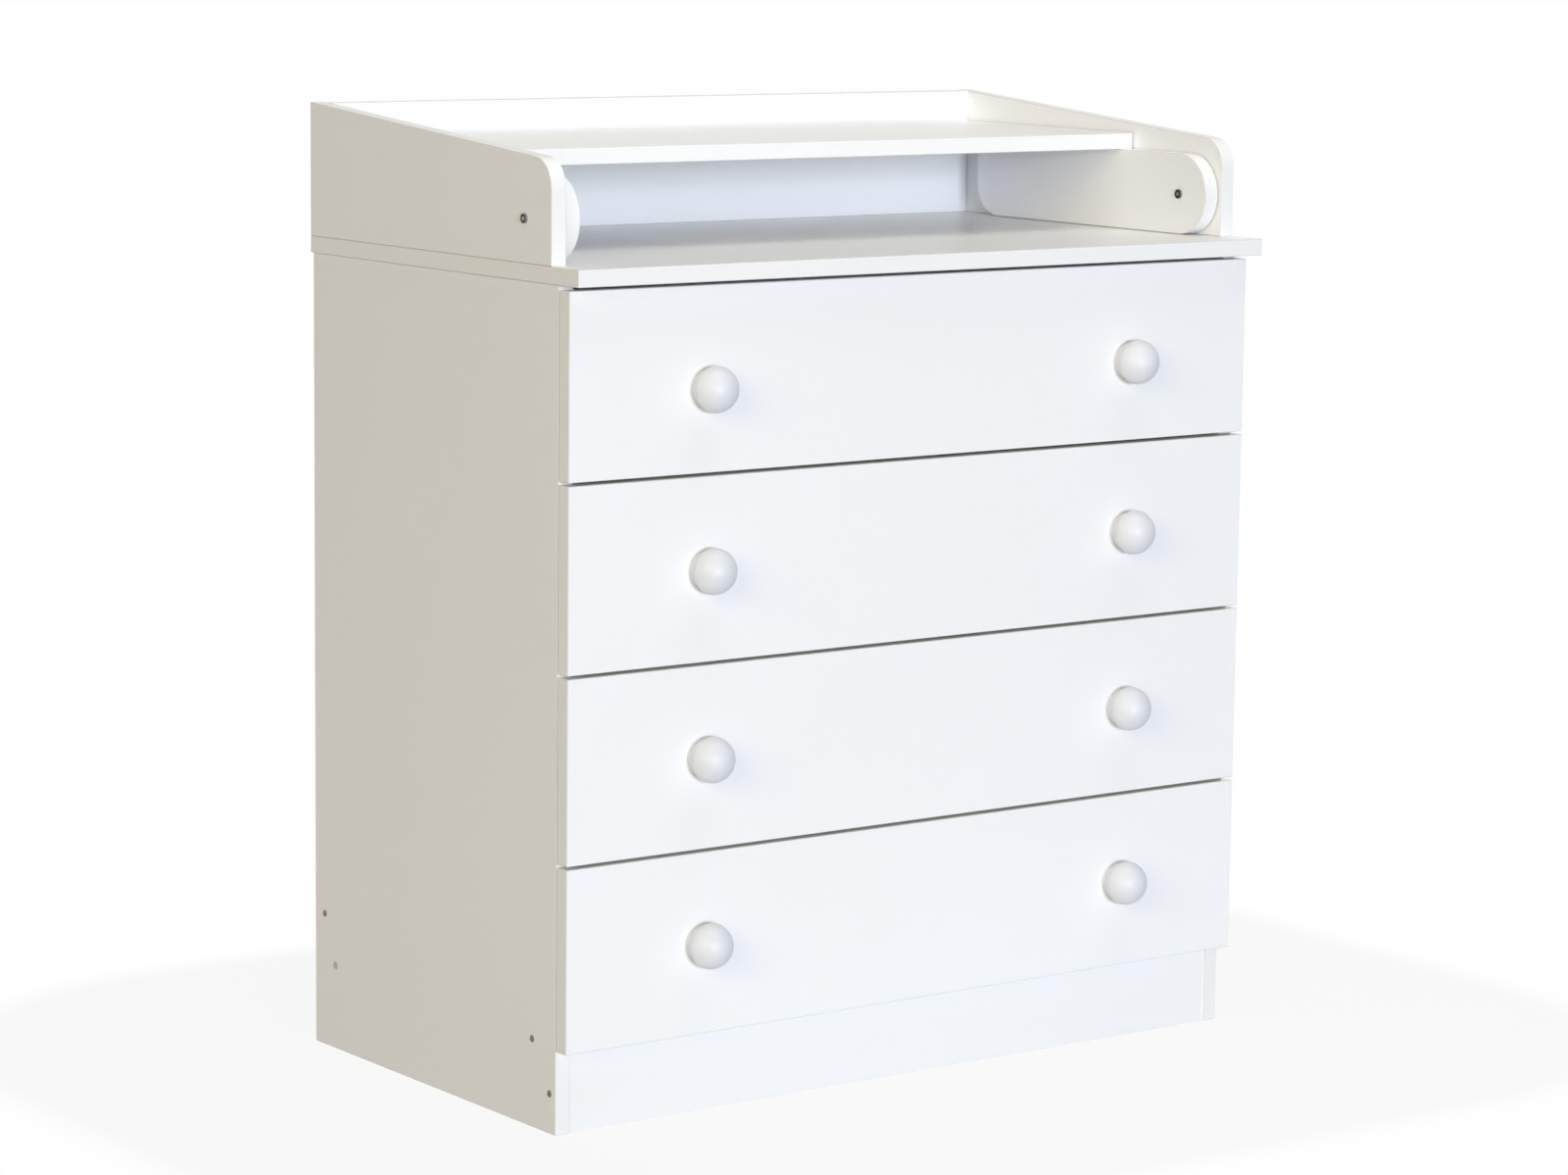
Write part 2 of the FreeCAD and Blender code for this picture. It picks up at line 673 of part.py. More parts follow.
def cabinet_runner(side, drawer):
    """The member on the side panel: floor for the rear roller, hood, and front roller pin."""
    name = f"{side}_cabinet_runner_{drawer}"
    floor = -d.floor_drop
    floor_width = rear_roller_end + d.roller_clearance + d.runner_steel
    body = folded_steel(name, side, [
        (0, floor - d.runner_steel), (floor_width, floor - d.runner_steel),
        (floor_width, floor + d.lip_height),
        (floor_width - d.runner_steel, floor + d.lip_height),
        (floor_width - d.runner_steel, floor), (d.runner_steel, floor),
        (d.runner_steel, hood_height), (d.hood_width, hood_height),
        (d.hood_width, hood_height + d.runner_steel), (0, hood_height + d.runner_steel)])
    trim(body, side, d.runner_steel, 2 * d.hood_width, track_height,
         hood_height + 2 * d.runner_steel, False, d.hood_entry)
    foot = box_foot(drawer)
    place(body, SIDES[side] * inner_width / 2, front_y + d.runner_front_inset, foot)
    pin = roller_pin(name, side, d.runner_steel / 2,
                     front_roller_end + d.roller_clearance + d.roller_pin_end,
                     front_roller_y, foot + front_roller_height)
    return fuse(f"{name}_with_pin", [body, pin])


def drawer_runner(drawer, side):
    """The member on the drawer side: ledge, web and the track over the front roller."""
    name = f"drawer_{drawer}_{side}_runner"
    track_edge = front_roller_start - d.roller_clearance - d.runner_steel
    track_top = track_height + d.runner_steel
    lip_foot = track_height - d.lip_height
    body = folded_steel(name, side, [
        (web, -d.runner_steel), (d.runner_gap + d.ledge_width, -d.runner_steel),
        (d.runner_gap + d.ledge_width, 0), (d.runner_gap, 0), (d.runner_gap, track_top),
        (track_edge, track_top), (track_edge, lip_foot),
        (track_edge + d.runner_steel, lip_foot), (track_edge + d.runner_steel, track_height),
        (web, track_height)])
    trim(body, side, track_edge - d.runner_steel, web, lip_foot - d.runner_steel,
         track_top + d.runner_steel, True,
         d.roller_inset + d.roller_radius + 2 * d.roller_clearance)
    foot = box_foot(drawer)
    place(body, SIDES[side] * inner_width / 2, front_inner_y, foot)
    pin = roller_pin(name, side, rear_roller_start - d.roller_clearance - d.roller_pin_end,
                     web + d.runner_steel / 2, rear_roller_y, foot + rear_roller_height)
    return fuse(f"{name}_with_pin", [body, pin])


def roller(name, side, start, y, z):
    """A nylon roller on its pin; start is its face nearer the side panel."""
    x = SIDES[side] * (inner_width / 2 - start)
    tread = cylinder(f"{name}_tread", d.roller_radius, d.roller_width, INWARD[side])
    bore = cylinder(f"{name}_bore", d.roller_pin_radius + d.bearing_clearance, d.roller_width,
                    INWARD[side])
    place(tread, x, y, z)
    place(bore, x, y, z)
    return cut(name, tread, bore)


def runners():
    for side in SIDES:
        group(f"{side}_cabinet_runners", [cabinet_runner(side, n) for n in DRAWERS])
    for drawer in DRAWERS:
        group(f"drawer_{drawer}_runners", [drawer_runner(drawer, side) for side in SIDES])
        foot = box_foot(drawer)
        group(f"front_rollers_{drawer}",
              [roller(f"{side}_front_roller_{drawer}", side, front_roller_start,
                      front_roller_y, foot + front_roller_height) for side in SIDES])
        group(f"rear_rollers_{drawer}",
              [roller(f"{side}_rear_roller_{drawer}", side, rear_roller_start,
                      rear_roller_y, foot + rear_roller_height) for side in SIDES])


# ---- the whole dresser

def check_document():
    """Stop where a feature failed, a cut removed nothing or a sub-part has no sound shape."""
    for item in doc.Objects:
        if "Invalid" in item.State or "Error" in item.State:
            raise RuntimeError(f"{item.Label} failed")
        if item.TypeId == "PartDesign::Pocket":
            base = item.BaseFeature
            if item.Shape.Volume > base.Shape.Volume - 0.1:
                raise RuntimeError(f"{item.Label} cuts nothing")
    for item in subparts:
        if item.Shape.isNull() or not item.Shape.isValid():
            raise RuntimeError(f"{item.Label} has no sound shape")


def write_parts():
    os.makedirs("parts", exist_ok=True)
    for item in subparts:
        item.Shape.exportStep(f"parts/{item.Label}.step")


def main():
    carcass()
    top_panel()
    for side in SIDES:
        side_guard(side)
    back_guard()
    changing_board()
    for side in SIDES:
        pivot_bolt(side)
    for drawer in DRAWERS:
        drawer_front(drawer)
        drawer_box(drawer)
        for side in SIDES:
            knob(drawer, side)
    runners()
    doc.recompute()
    check_document()
    write_parts()


main()
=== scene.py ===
import math

import bmesh
import bpy
from bpy.props import FloatProperty, FloatVectorProperty, PointerProperty
from mathutils import Euler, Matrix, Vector


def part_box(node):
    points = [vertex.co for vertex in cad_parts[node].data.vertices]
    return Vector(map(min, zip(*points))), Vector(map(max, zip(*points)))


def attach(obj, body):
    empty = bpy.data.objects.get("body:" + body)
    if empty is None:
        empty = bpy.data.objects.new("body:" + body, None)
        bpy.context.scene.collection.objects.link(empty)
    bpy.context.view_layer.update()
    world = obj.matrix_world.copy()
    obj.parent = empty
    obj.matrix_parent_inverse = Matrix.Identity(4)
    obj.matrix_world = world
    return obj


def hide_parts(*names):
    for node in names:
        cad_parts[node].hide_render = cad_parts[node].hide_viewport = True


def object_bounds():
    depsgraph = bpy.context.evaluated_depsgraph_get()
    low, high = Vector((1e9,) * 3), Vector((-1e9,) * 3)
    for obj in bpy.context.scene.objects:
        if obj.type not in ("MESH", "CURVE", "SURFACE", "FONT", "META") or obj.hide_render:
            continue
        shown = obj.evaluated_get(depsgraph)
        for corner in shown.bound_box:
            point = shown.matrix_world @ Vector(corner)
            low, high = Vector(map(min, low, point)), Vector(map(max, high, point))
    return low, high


bl_info = {
    "name": "Changing dresser",
    "version": (1, 0, 0),
    "blender": (4, 5, 0),
    "location": "3D View > Sidebar > Dresser",
    "description": "Finishes, knobs, bolts, screws and studio for a changing dresser",
    "category": "Object",
}

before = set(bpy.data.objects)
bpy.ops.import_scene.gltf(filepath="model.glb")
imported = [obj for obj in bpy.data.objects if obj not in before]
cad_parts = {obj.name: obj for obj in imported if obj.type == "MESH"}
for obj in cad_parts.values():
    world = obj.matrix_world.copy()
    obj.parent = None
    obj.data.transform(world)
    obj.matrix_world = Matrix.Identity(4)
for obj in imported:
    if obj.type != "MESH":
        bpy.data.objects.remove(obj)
PACKED_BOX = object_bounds()

DRAWERS = (1, 2, 3, 4)  # counted from the top
SIDES = {"left": -1, "right": 1}
MM = 0.001

# boards by the axis that their faces look along
OUTER_BOARDS = {
    "X": ("left_side_panel", "right_side_panel", "left_guard_board", "right_guard_board",
          "left_arm", "right_arm"),
    "Y": ("front_plinth", "rear_rail", "back_guard_board",
          *(f"drawer_{n}_front" for n in DRAWERS)),
    "Z": ("top_panel", "bottom_panel", "changing_shelf"),
}
DRAWER_BOARDS = {
    "X": tuple(f"drawer_{n}_{side}_side" for n in DRAWERS for side in SIDES),
    "Y": tuple(f"drawer_{n}_back" for n in DRAWERS),
}
THIN_BOARDS = ("back_panel", *(f"drawer_{n}_bottom" for n in DRAWERS))
RUNNERS = ("left_cabinet_runners", "right_cabinet_runners",
           *(f"drawer_{n}_runners" for n in DRAWERS))

# a knob's foot on the drawer front, its flared neck and its ball
FOOT_PAST_WAIST = 1.0 * MM
FOOT_EDGE = 0.4 * MM
FOOT_SHOULDER = 0.5 * MM
FOOT_HEIGHT = 1.5 * MM
NECK_START = 1.6 * MM
NECK_BELOW_RIM = 0.8 * MM
NECK_STEPS = 10
NECK_FLARE = 1.8  # power by which the neck widens towards the ball
BALL_START = 4  # degrees past the widest place
BALL_STEPS = 26

# carcass screws as (behind the front edge of a side panel, above the floor)
BARE_SCREWS = ((38.5 * MM, 83 * MM), (9.5 * MM, 37.5 * MM), (408 * MM, 131 * MM))
CAPPED_SCREW = (387.5 * MM, 83 * MM)
CAP_RINGS = ((0, 0), (4 * MM, 0), (4 * MM, 0.2 * MM), (3.4 * MM, 0.42 * MM), (0, 0.5 * MM))
CAP_COLOUR = (0.5, 0.49, 0.45)

PIVOT_HEAD_HEIGHT = 1.8 * MM
RUNNER_STEEL = 1.2 * MM  # thickness of the runners' steel
RUNNER_SCREW_INSET = 35 * MM  # from either end of a runner
LEDGE_SCREW_INSET = 6 * MM  # from the outer face of a drawer side

SHARP_ANGLE = math.radians(38)  # edges that turn by more than this stay sharp
CROSS_WAIST = 0.42  # radius between the arms of a cross-shaped recess, as a share
SEAM_FACING = (0.3, 0.9)  # how far a broken edge looks along its board's axis

DRESSER_MIDDLE = (0, 0, 0.45)
# soft lamps as (place, target, width and height, colour)
LAMPS = {
    "key": ((-4.22, -14.7, 2.0), (0, 0, 0.8), (6.0, 3.2), (0.792, 0.865, 1.0)),
    "top": ((0.2, -0.4, 3.2), DRESSER_MIDDLE, (2.5, 2.0), (1.0, 1.0, 0.956)),
    "side": ((-7.2, -4.2, 3.35), DRESSER_MIDDLE, (5.0, 4.0), (1.0, 0.829, 0.492)),
    "back": ((2.6, 3.4, 0.48), DRESSER_MIDDLE, (2.4, 0.8), (1.0, 0.99, 0.97)),
}
FLOOR_FADE = 0.4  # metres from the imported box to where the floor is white
FLOOR_LEAST_WHITE = 0.9  # share of white beside the dresser
SURROUNDINGS_COLOUR = (1.0, 0.985, 0.96, 1)


# ---- sizes and colours that a user would change

class DresserFinishes(bpy.types.PropertyGroup):
    """Colours and gloss of the dresser's materials."""

    laminate: FloatVectorProperty(
        name="Laminate", description="White of the laminated boards", subtype="COLOR",
        size=3, min=0, max=1, default=(0.87, 0.87, 0.87))
    edge_band: FloatVectorProperty(
        name="Edge band", description="White of the banded edges", subtype="COLOR",
        size=3, min=0, max=1, default=(0.86, 0.86, 0.85))
    seam: FloatVectorProperty(
        name="Seam", description="Fine line where an edge band meets the laminate",
        subtype="COLOR", size=3, min=0, max=1, default=(0.66, 0.65, 0.62))
    laminate_roughness: FloatProperty(
        name="Laminate roughness", description="Gloss of the laminated boards",
        subtype="FACTOR", min=0, max=1, default=0.3)
    drawer_foil: FloatVectorProperty(
        name="Drawer foil", description="White foil on the drawer sides and backs",
        subtype="COLOR", size=3, min=0, max=1, default=(0.78, 0.78, 0.77))
    lacquer: FloatVectorProperty(
        name="Lacquer", description="Lacquered side of the hardboard", subtype="COLOR",
        size=3, min=0, max=1, default=(0.78, 0.78, 0.77))
    fibre: FloatVectorProperty(
        name="Fibre", description="Raw side of the hardboard", subtype="COLOR",
        size=3, min=0, max=1, default=(0.30, 0.17, 0.085))
    knob: FloatVectorProperty(
        name="Knob", description="White moulded plastic of the knobs", subtype="COLOR",
        size=3, min=0, max=1, default=(0.70, 0.71, 0.735))
    coating: FloatVectorProperty(
        name="Runner coating", description="Epoxy coating of the steel runners",
        subtype="COLOR", size=3, min=0, max=1, default=(0.76, 0.76, 0.75))
    nylon: FloatVectorProperty(
        name="Nylon", description="Rollers of the runners", subtype="COLOR",
        size=3, min=0, max=1, default=(0.72, 0.72, 0.68))
    steel: FloatVectorProperty(
        name="Steel", description="Zinc plated screws and pivot bolts", subtype="COLOR",
        size=3, min=0, max=1, default=(0.42, 0.41, 0.39))


class DresserFittings(bpy.types.PropertyGroup):
    """Sizes of the turned and bought-in fittings."""

    knob_radius: FloatProperty(
        name="Knob radius", description="At the widest place", subtype="DISTANCE",
        unit="LENGTH", min=0.005, default=21.5 * MM)
    knob_waist: FloatProperty(
        name="Knob waist", description="Radius of the neck behind the ball",
        subtype="DISTANCE", unit="LENGTH", min=0.005, default=17.5 * MM)
    knob_rim: FloatProperty(
        name="Knob rim height", description="Drawer front to the widest place",
        subtype="DISTANCE", unit="LENGTH", min=0.002, default=13.5 * MM)
    screw_head: FloatProperty(
        name="Carcass screw head", description="Radius of a carcass screw's head",
        subtype="DISTANCE", unit="LENGTH", min=0.001, default=3.4 * MM)
    runner_screw_head: FloatProperty(
        name="Runner screw head", description="Radius of a runner screw's flat head",
        subtype="DISTANCE", unit="LENGTH", min=0.001, default=3.4 * MM)


class DresserStudio(bpy.types.PropertyGroup):
    """Camera, lamps and floor."""

    camera_place: FloatVectorProperty(
        name="Camera place", description="Where the camera stands", subtype="TRANSLATION",
        unit="LENGTH", size=3, default=(-2.64913, -3.58107, 1.11809))
    camera_turn: FloatVectorProperty(
        name="Camera turn", description="How the camera is turned", subtype="EULER",
        size=3, default=(1.421786, -0.011867, -0.633219))
    lens: FloatProperty(
        name="Lens", description="Focal length in millimetres", min=1, default=105.587)
    key_power: FloatProperty(
        name="Key power", description="Soft lamp in front of the drawers", unit="POWER",
        min=0, default=1744)
    top_power: FloatProperty(
        name="Top power", description="Soft lamp overhead", unit="POWER", min=0, default=35)
    side_power: FloatProperty(
        name="Side power", description="Warm soft lamp on the left", unit="POWER",
        min=0, default=248)
    back_power: FloatProperty(
        name="Back power", description="Soft lamp behind, for the rear and the right side",
        unit="POWER", min=0, default=60)
    surroundings: FloatProperty(
        name="Surroundings", description="Light from all around", min=0, default=0.1)


# ---- materials

class Finish:
    """A material with short calls to add nodes and link them to its surface."""

    def __init__(self, name):
        self.material = bpy.data.materials.new(name)
        self.material.use_nodes = True
        self.tree = self.material.node_tree
        self.surface = self.tree.nodes["Principled BSDF"]
        self.place = self.node("ShaderNodeTexCoord")

    def fill(self, node, sockets):
        """Set or link a node's inputs, by number or by name with _ for a space."""
        for name, value in sockets.items():
            socket = node.inputs[name if isinstance(name, int) else name.replace("_", " ")]
            if isinstance(value, bpy.types.NodeSocket):
                self.tree.links.new(value, socket)
            else:
                socket.default_value = value

    def node(self, kind, sockets=(), **settings):
        made = self.tree.nodes.new(kind)
        for name, value in settings.items():
            setattr(made, name, value)
        self.fill(made, dict(sockets))
        return made

    def set(self, **sockets):
        self.fill(self.surface, sockets)

    def maths(self, operation, *values):
        made = self.node("ShaderNodeMath", enumerate(values), operation=operation)
        return made.outputs[0]

    def vector(self, operation, *values):
        made = self.node("ShaderNodeVectorMath", enumerate(values), operation=operation)
        return made.outputs["Value" if operation == "LENGTH" else "Vector"]

    def noise(self, scale, detail, stretch=(1, 1, 1)):
        """Noise over the piece's own coordinates, in cycles a metre."""
        turned = self.node("ShaderNodeMapping",
                           {"Vector": self.place.outputs["Object"], "Scale": stretch})
        made = self.node("ShaderNodeTexNoise", {"Vector": turned.outputs[0], "Scale": scale,
                                                "Detail": detail})
        return made.outputs["Fac"]

    def between(self, value, low, high, start=0.0, end=1.0):
        """A value from start to end, spread from low to high."""
        made = self.node("ShaderNodeMapRange", {"Value": value, "From_Min": start,
                                                "From_Max": end, "To_Min": low,
                                                "To_Max": high})
        return made.outputs["Result"]

    def mix(self, share, first, second):
        """A colour between two. Inputs 0, 6 and 7 are a Mix node's share and two colours."""
        made = self.node("ShaderNodeMix", data_type="RGBA")
        for socket, value in ((made.inputs[0], share), (made.inputs[6], first),
                              (made.inputs[7], second)):
            if isinstance(value, bpy.types.NodeSocket):
                self.tree.links.new(value, socket)
            else:
                socket.default_value = value if isinstance(value, float) else (*value, 1)
        return made.outputs[2]

    def bump(self, height, distance):
        made = self.node("ShaderNodeBump", {"Height": height, "Distance": distance})
        self.set(Normal=made.outputs[0])

    def facing(self, axis):
        """How far the surface looks along an axis of the piece, without sign."""
        parts = self.node("ShaderNodeSeparateXYZ", {"Vector": self.place.outputs["Normal"]})
        return self.maths("ABSOLUTE", parts.outputs[axis])


def tint(colour, factor):
    return tuple(min(1.0, channel * factor) for channel in colour)


def laminated_board(name, axis, face, band, seam, roughness):
    """Laminate on the faces, banding on the edges and a fine seam on the broken edge."""
    finish = Finish(name)
    clouds = finish.noise(3.5, 3)
    face_colour = finish.mix(clouds, tint(face, 0.985), tint(face, 1.015))
    band_colour = finish.mix(finish.noise(9, 2), tint(band, 0.98), tint(band, 1.01))
    along = finish.facing(axis)
    on_band = finish.maths("LESS_THAN", along, 0.5)
    on_seam = finish.maths("MULTIPLY", finish.maths("GREATER_THAN", along, SEAM_FACING[0]),
                           finish.maths("LESS_THAN", along, SEAM_FACING[1]))
    colour = finish.mix(on_seam, finish.mix(on_band, face_colour, band_colour), seam)
    pearl = finish.noise(1500, 2)
    smear = finish.noise(14, 4, (1, 0.4, 1))
    duller_band = finish.maths("MULTIPLY", on_band, 0.06)
    uneven = finish.between(smear, roughness - 0.03, roughness + 0.04)
    finish.set(Base_Color=colour, Roughness=finish.maths("ADD", uneven, duller_band))
    finish.bump(pearl, 0.03 * MM)
    return finish.material


def hardboard():
    """Lacquer with a fine dimple on the inner side, brown fibres and sieve marks outside."""
    colours = bpy.context.scene.dresser_finishes
    finish = Finish("hardboard")
    parts = finish.node("ShaderNodeSeparateXYZ", {"Vector": finish.place.outputs["Normal"]})
    outwards = finish.maths("SUBTRACT", parts.outputs["Y"], parts.outputs["Z"])
    raw = finish.maths("GREATER_THAN", outwards, 0.5)
    fibres = finish.noise(420, 5, (1, 1, 0.35))
    flecks = finish.noise(60, 4)
    brown = finish.mix(finish.between(fibres, 0, 1, 0.3, 0.7), tint(colours.fibre, 0.72),
                       tint(colours.fibre, 1.3))
    brown = finish.mix(finish.between(flecks, 0, 0.3, 0.45, 0.7), brown,
                       tint(colours.fibre, 0.6))
    white = finish.mix(finish.noise(6, 3), tint(colours.lacquer, 0.97), colours.lacquer)
    wires = {"Vector": finish.place.outputs["Object"], "Scale": 160.0, "Distortion": 0.4}
    sieve = [finish.node("ShaderNodeTexWave", wires, bands_direction=axis).outputs["Fac"]
             for axis in ("X", "Z")]
    marks = finish.maths("MULTIPLY", finish.maths("MULTIPLY", *sieve),
                         finish.maths("MULTIPLY", raw, 3.0))
    dimple = finish.noise(900, 2)
    height = finish.maths("ADD", marks,
                          finish.maths("ADD", dimple, finish.maths("MULTIPLY", fibres, raw)))
    finish.set(Base_Color=finish.mix(raw, white, brown),
               Roughness=finish.between(raw, 0.38, 0.85))
    finish.bump(height, 0.06 * MM)
    return finish.material


def moulded(name, colour, roughness, grain, depth):
    """A moulded or coated surface with a faint cloud, fine grain and uneven gloss."""
    finish = Finish(name)
    finish.set(Base_Color=finish.mix(finish.noise(40, 3), tint(colour, 0.97),
                                     tint(colour, 1.02)),
               Roughness=finish.between(finish.noise(120, 3), roughness * 0.85,
                                        roughness * 1.2))
    finish.bump(finish.noise(grain, 2), depth)
    return finish.material


def plated_steel(name, colour, roughness):
    """Zinc plated steel with a fine grain, uneven gloss and small dull spots."""
    finish = Finish(name)
    spots = finish.between(finish.noise(700, 3), 0.0, 1.0, 0.35, 0.65)
    finish.set(Base_Color=finish.mix(spots, tint(colour, 0.8), tint(colour, 1.15)),
               Metallic=1.0,
               Roughness=finish.between(finish.noise(1800, 2), roughness * 0.7,
                                        roughness * 1.3))
    finish.bump(finish.noise(2600, 2), 0.02 * MM)
    return finish.material


def dress(nodes, finish):
    """Give CAD nodes a finish in place of their packed colour."""
    for node in nodes:
        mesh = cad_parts[node].data
        mesh.materials.clear()
        mesh.materials.append(finish)


# ---- meshes and Geometry Nodes

def outline_radius(shape, radius, angle):
    """Distance from the axis to a round, six-sided or cross-shaped outline."""
    if shape == "hexagon":
        return radius * math.cos(math.pi / 6) / math.cos(angle % (math.pi / 3) - math.pi / 6)
    if shape == "cross":
        return radius * (CROSS_WAIST + (1 - CROSS_WAIST) * math.cos(2 * angle) ** 6)
    return radius


def turned(name, rings, segments):
    """A closed mesh about +Z through rings (radius, height, shape), from bottom to top."""
    build = bmesh.new()
    loops = []
    for radius, height, *shape in rings:
        shape = shape[0] if shape else "round"
        if radius == 0:
            loops.append([build.verts.new((0, 0, height))])
            continue
        angles = [2 * math.pi * i / segments for i in range(segments)]
        loops.append([build.verts.new((outline_radius(shape, radius, a) * math.cos(a),
                                       outline_radius(shape, radius, a) * math.sin(a),
                                       height)) for a in angles])
    for lower, upper in zip(loops, loops[1:]):
        for i in range(segments):
            j = (i + 1) % segments
            corners = [lower[i % len(lower)], lower[j % len(lower)],
                       upper[j % len(upper)], upper[i % len(upper)]]
            build.faces.new(dict.fromkeys(corners))
    bmesh.ops.recalc_face_normals(build, faces=build.faces)
    mesh = bpy.data.meshes.new(name)
    build.to_mesh(mesh)
    build.free()
    mesh.shade_smooth()
    mesh.set_sharp_from_angle(angle=SHARP_ANGLE)
    return bpy.data.objects.new(name, mesh)


def arc(centre, radius, start, end, steps):
    """Ring sizes (radius, height) round an arc seen from the side, angles in degrees."""
    turns = [math.radians(start + (end - start) * i / steps) for i in range(steps + 1)]
    return [(centre[0] + radius * math.cos(t), centre[1] + radius * math.sin(t))
            for t in turns]


def new_tree(name, sockets):
    """A Geometry Nodes tree with geometry in and out and these named inputs."""
    tree = bpy.data.node_groups.new(name, "GeometryNodeTree")
    tree.interface.new_socket("Geometry", in_out="INPUT", socket_type="NodeSocketGeometry")
    for label, kind in sockets.items():
        tree.interface.new_socket(label, in_out="INPUT", socket_type=f"NodeSocket{kind}")
    tree.interface.new_socket("Geometry", in_out="OUTPUT", socket_type="NodeSocketGeometry")
    return tree


def fitting_tree():
    """Puts a part on every point, facing its way and turned at random about its axis."""
    tree = new_tree("Fittings on points", {"Part": "Object", "Finish": "Material",
                                           "Size": "Float", "Most turn": "Float",
                                           "Seed": "Int"})
    nodes = tree.nodes

    def add(kind, **settings):
        made = nodes.new(kind)
        for name, value in settings.items():
            setattr(made, name, value)
        return made

    given, result = add("NodeGroupInput"), add("NodeGroupOutput")
    part = add("GeometryNodeObjectInfo")
    way = add("GeometryNodeInputNamedAttribute", data_type="FLOAT_VECTOR")
    way.inputs["Name"].default_value = "facing"
    align = add("FunctionNodeAlignRotationToVector", axis="Z")
    chance = add("FunctionNodeRandomValue", data_type="FLOAT")
    spin = add("ShaderNodeCombineXYZ")
    about = add("FunctionNodeRotateRotation", rotation_space="LOCAL")
    put = add("GeometryNodeInstanceOnPoints")
    real = add("GeometryNodeRealizeInstances")
    paint = add("GeometryNodeSetMaterial")
    # a random float has its greatest value on input 3 and its result on output 1
    for source, target in (
            (given.outputs["Geometry"], put.inputs["Points"]),
            (given.outputs["Part"], part.inputs["Object"]),
            (part.outputs["Geometry"], put.inputs["Instance"]),
            (given.outputs["Size"], put.inputs["Scale"]),
            (way.outputs["Attribute"], align.inputs["Vector"]),
            (given.outputs["Most turn"], chance.inputs[3]),
            (given.outputs["Seed"], chance.inputs["Seed"]),
            (chance.outputs[1], spin.inputs["Z"]),
            (align.outputs["Rotation"], about.inputs["Rotation"]),
            (spin.outputs["Vector"], about.inputs["Rotate By"]),
            (about.outputs["Rotation"], put.inputs["Rotation"]),
            (put.outputs["Instances"], real.inputs["Geometry"]),
            (real.outputs["Geometry"], paint.inputs["Geometry"]),
            (given.outputs["Finish"], paint.inputs["Material"]),
            (paint.outputs["Geometry"], result.inputs["Geometry"])):
        tree.links.new(source, target)
    return tree


def fit(name, part, places, finish, body, most_turn=0.0, seed=0):
    """Copies of a part at (point, facing) places, as one plain mesh that rides on a body."""
    mesh = bpy.data.meshes.new(f"{name}_points")
    mesh.from_pydata([point for point, _ in places], [], [])
    facing = mesh.attributes.new("facing", "FLOAT_VECTOR", "POINT")
    for item, (_, way) in zip(facing.data, places):
        item.vector = way
    carrier = bpy.data.objects.new(f"{name}_points", mesh)
    bpy.context.scene.collection.objects.link(carrier)
    tree = bpy.data.node_groups.get("Fittings on points") or fitting_tree()
    modifier = carrier.modifiers.new("fittings", "NODES")
    modifier.node_group = tree
    values = {"Part": part, "Finish": finish, "Size": 1.0, "Most turn": most_turn,
              "Seed": seed}
    for socket in tree.interface.items_tree:
        if socket.in_out == "INPUT" and socket.name in values:
            modifier[socket.identifier] = values[socket.name]
    bpy.context.view_layer.update()
    evaluated = carrier.evaluated_get(bpy.context.evaluated_depsgraph_get())
    solid = bpy.data.meshes.new_from_object(evaluated)
    solid.name = name
    bpy.data.objects.remove(carrier)
    piece = bpy.data.objects.new(name, solid)
    bpy.context.scene.collection.objects.link(piece)
    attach(piece, body)
    return piece


def middle(node):
    low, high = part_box(node)
    return (low + high) / 2


def knob_rings(waist, rim, radius):
    """Rings of a knob from its foot along the flared neck to the front of the ball."""
    flange = waist + FOOT_PAST_WAIST
    foot = [(0, 0), (flange - FOOT_EDGE, 0), (flange, FOOT_EDGE),
            (flange, FOOT_HEIGHT - FOOT_EDGE), (flange - FOOT_SHOULDER, FOOT_HEIGHT)]
    neck_length = rim - NECK_BELOW_RIM - NECK_START
    shares = [i / NECK_STEPS for i in range(NECK_STEPS + 1)]
    neck = [(waist + (radius - waist) * share ** NECK_FLARE, NECK_START + neck_length * share)
            for share in shares]
    ball = arc((0, rim), radius, BALL_START, 90, BALL_STEPS)
    ball[-1] = (0, rim + radius)  # exactly on the axis
    return foot + neck + ball


def sunk_screw(name, radius, height, socket, shape, depth):
    """A low screw head with a recess of the given outline, radius and depth."""
    return turned(name, [
        (0, 0), (radius, 0), (radius, height * 0.55), (radius * 0.9, height * 0.92),
        (radius * 0.8, height), (socket * 1.06, height), (socket, height - 0.04 * MM, shape),
        (socket * 0.96, height - depth, shape), (0, height - depth)], segments=36)


# ---- pieces

class DRESSER_OT_finish_boards(bpy.types.Operator):
    """Give the laminated boards, the drawer boards and the hardboard their finishes"""

    bl_idname = "dresser.finish_boards"
    bl_label = "Finish boards"

    def execute(self, context):
        colours = context.scene.dresser_finishes
        for axis, nodes in OUTER_BOARDS.items():
            dress(nodes, laminated_board(f"laminate_{axis.lower()}", axis, colours.laminate,
                                         colours.edge_band, colours.seam,
                                         colours.laminate_roughness))
        for axis, nodes in DRAWER_BOARDS.items():
            dress(nodes, laminated_board(f"drawer_foil_{axis.lower()}", axis,
                                         colours.drawer_foil, colours.edge_band,
                                         colours.seam, colours.laminate_roughness + 0.12))
        dress(THIN_BOARDS, hardboard())
        return {"FINISHED"}


